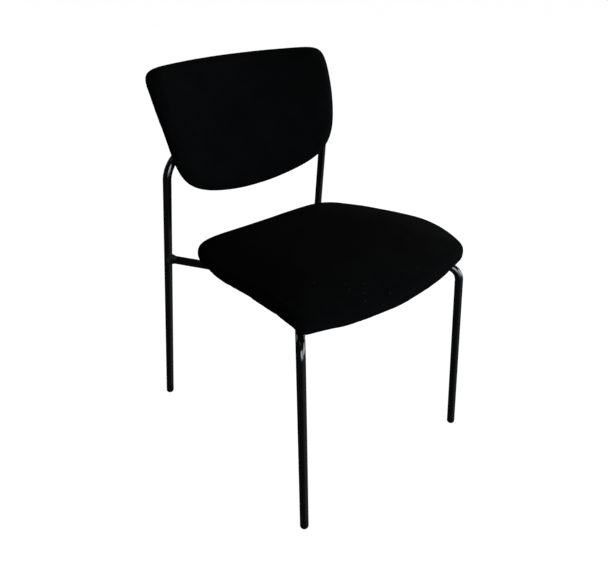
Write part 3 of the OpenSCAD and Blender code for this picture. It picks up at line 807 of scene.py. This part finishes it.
nt.links.new(glow.outputs[0], add.inputs[1])
nt.links.new(lp.outputs["Is Camera Ray"], mixs.inputs[0])
nt.links.new(painted_floor_glow.outputs[0], mixs.inputs[1])
nt.links.new(add.outputs[0], mixs.inputs[2])
nt.links.new(mixs.outputs[0], out.inputs[0])
floor.data.materials.append(fm)
floor.visible_glossy = False

world = D.worlds.new("studio")
scene.world = world
world.use_nodes = True
nt = world.node_tree
nt.nodes.clear()
out = nt.nodes.new("ShaderNodeOutputWorld")
lp = nt.nodes.new("ShaderNodeLightPath")
mixs = nt.nodes.new("ShaderNodeMixShader")
b0 = nt.nodes.new("ShaderNodeBackground")
b0.inputs[0].default_value = (.9, .95, 1, 1)
b0.inputs[1].default_value = .02
b1 = nt.nodes.new("ShaderNodeBackground")
b1.inputs[0].default_value = (1, 1, 1, 1)
b1.inputs[1].default_value = 1.05
# off camera the studio is dark, with a paler wall low on the window side
tc = nt.nodes.new("ShaderNodeTexCoord")
dot = nt.nodes.new("ShaderNodeVectorMath")
dot.operation = "DOT_PRODUCT"
nt.links.new(tc.outputs["Generated"], dot.inputs[0])
dot.inputs[1].default_value = (.72, -.62, -.31)
mr = nt.nodes.new("ShaderNodeMapRange")
mr.interpolation_type = "SMOOTHSTEP"
mr.inputs[1].default_value = .35
mr.inputs[2].default_value = .95
mr.inputs[3].default_value = .012
mr.inputs[4].default_value = .065
nt.links.new(dot.outputs["Value"], mr.inputs[0])
nt.links.new(mr.outputs[0], b0.inputs[1])
nt.links.new(lp.outputs["Is Camera Ray"], mixs.inputs[0])
nt.links.new(b0.outputs[0], mixs.inputs[1])
nt.links.new(b1.outputs[0], mixs.inputs[2])
nt.links.new(mixs.outputs[0], out.inputs[0])


def area(name, loc, target, size, power, color=(1, 1, 1)):
    l = D.lights.new(name, "AREA")
    l.shape = "RECTANGLE"
    l.size, l.size_y = size
    l.energy = power
    l.color = color
    ob = D.objects.new(name, l)
    scene.collection.objects.link(ob)
    ob.location = loc
    ob.rotation_euler = (Vector(target) - Vector(loc)).to_track_quat("-Z", "Y").to_euler()
    return ob


area("window_front", (-.9, -3.0, 1.35), (0, -.2, .45), (2.1, 1.8), 24, (.80, .90, 1))
area("window_corner", (1.75, -2.35, 1.0), (0, -.2, .45), (2.2, 1.1), 15, (.84, .92, 1))
area("window_side", (3.0, .45, 1.25), (.2, 0, .45), (.9, 2.0), 24, (.97, .98, 1))
area("sill_front", (-.4, -2.6, .22), (0, -.2, .4), (2.4, .42), 2.0, (.85, .92, 1))
area("sill_side", (2.3, -.9, .26), (.2, -.1, .4), (2.4, .5), 4.5, (.95, .97, 1))
area("overhead", (-.3, -.2, 3.0), (0, 0, .4), (2.2, 2.2), 1.3)
area("rear_fill", (-.9, 2.7, 1.1), (0, .2, .5), (1.3, 1.4), 2.6)

C = np.array([-.7839, -.8692 + YO, 1.0704])
a, e, r, f, cx, cy = -.7159, .5442, .022, 608.66, 301.44, 283.71
back = np.array([math.sin(a) * math.cos(e), -math.cos(a) * math.cos(e), math.sin(e)])
right = np.array([math.cos(a), math.sin(a), 0])
up = np.cross(back, right)
r2 = math.cos(r) * right + math.sin(r) * up
u2 = -math.sin(r) * right + math.cos(r) * up
cam = D.cameras.new("camera")
cam.sensor_fit = "HORIZONTAL"
cam.sensor_width = 36
cam.lens = f / 608 * 36
cam.shift_x = (304 - cx) / 608
cam.shift_y = (cy - 284) / 608
cam.clip_start = .05
cam.dof.use_dof = False
camera = D.objects.new("camera", cam)
scene.collection.objects.link(camera)
from mathutils import Matrix
camera.matrix_world = Matrix([[r2[0], u2[0], back[0], C[0]], [r2[1], u2[1], back[1], C[1]], [r2[2], u2[2], back[2], C[2]], [0, 0, 0, 1]])
scene.camera = camera
scene.view_settings.view_transform = "Standard"
scene.view_settings.look = "None"

# a few specks of lint on the seat
from mathutils.bvhtree import BVHTree
pad = seat_pad.data
tree = BVHTree.FromPolygons([v.co[:] for v in pad.vertices], [p.vertices[:] for p in pad.polygons])
lr = np.random.default_rng(21)
segs = []
for px, py, size in ((314, 229, .0016), (237, 268, .0018), (314, 283, .0022), (345, 284, .0016), (349, 290, .0015),
                     (364, 284, .0018), (364, 293, .0014), (365, 301, .0015), (390, 293, .0022), (418, 268, .0016)):
    ray = unit(r2 * (px - cx) / f - u2 * (py - cy) / f - back)
    hit, nrm, _, _ = tree.ray_cast(Vector(C), Vector(ray))
    if hit is None:
        continue
    h, n_ = np.array(hit), np.array(nrm)
    for k in range(3):
        d = unit(np.cross(n_, lr.normal(size=3)))
        c = h + n_ * .0003 + d * lr.normal() * .0004
        segs.append((c - d * size * .5 + n_ * .0001, c + d * size * .5 + n_ * lr.uniform(.0001, .0005)))
lint = capsules("seat_lint", segs, .00022, 5)
paint_piece(lint, MATS["lint"])
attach(lint, "root")

bpy.context.view_layer.update()
